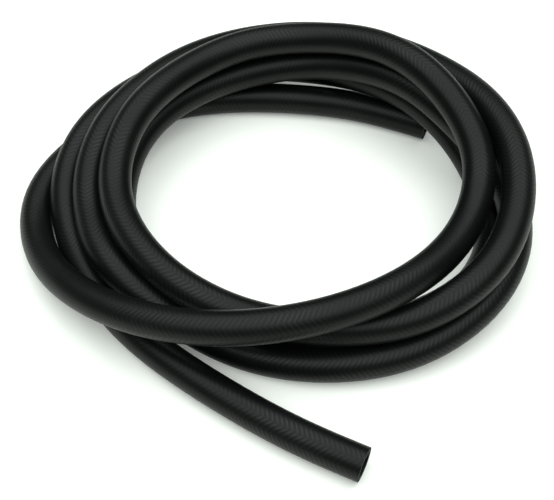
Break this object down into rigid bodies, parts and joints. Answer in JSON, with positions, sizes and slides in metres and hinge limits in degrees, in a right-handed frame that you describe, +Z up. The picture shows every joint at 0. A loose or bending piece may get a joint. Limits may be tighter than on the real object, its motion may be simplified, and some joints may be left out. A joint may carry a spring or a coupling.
{
  "type": "oil cooler hose",
  "caption": "Length of braid-reinforced rubber hose with an open round bore and plain cut ends, lying flat in a loose oval coil.",
  "frame": {"origin": "centre of the coil's bounding box, on the floor it lies on", "axes": "+Z up, out of the floor; -Y towards the viewer, where the free end lies; +X to the viewer's right"},
  "size_m": [0.325, 0.3355, 0.0848],
  "materials": {
    "rubber": "matt black with a faint braid print"
  },
  "bodies": {
    "root": {"hose": "rubber"}
  },
  "joints": []
}
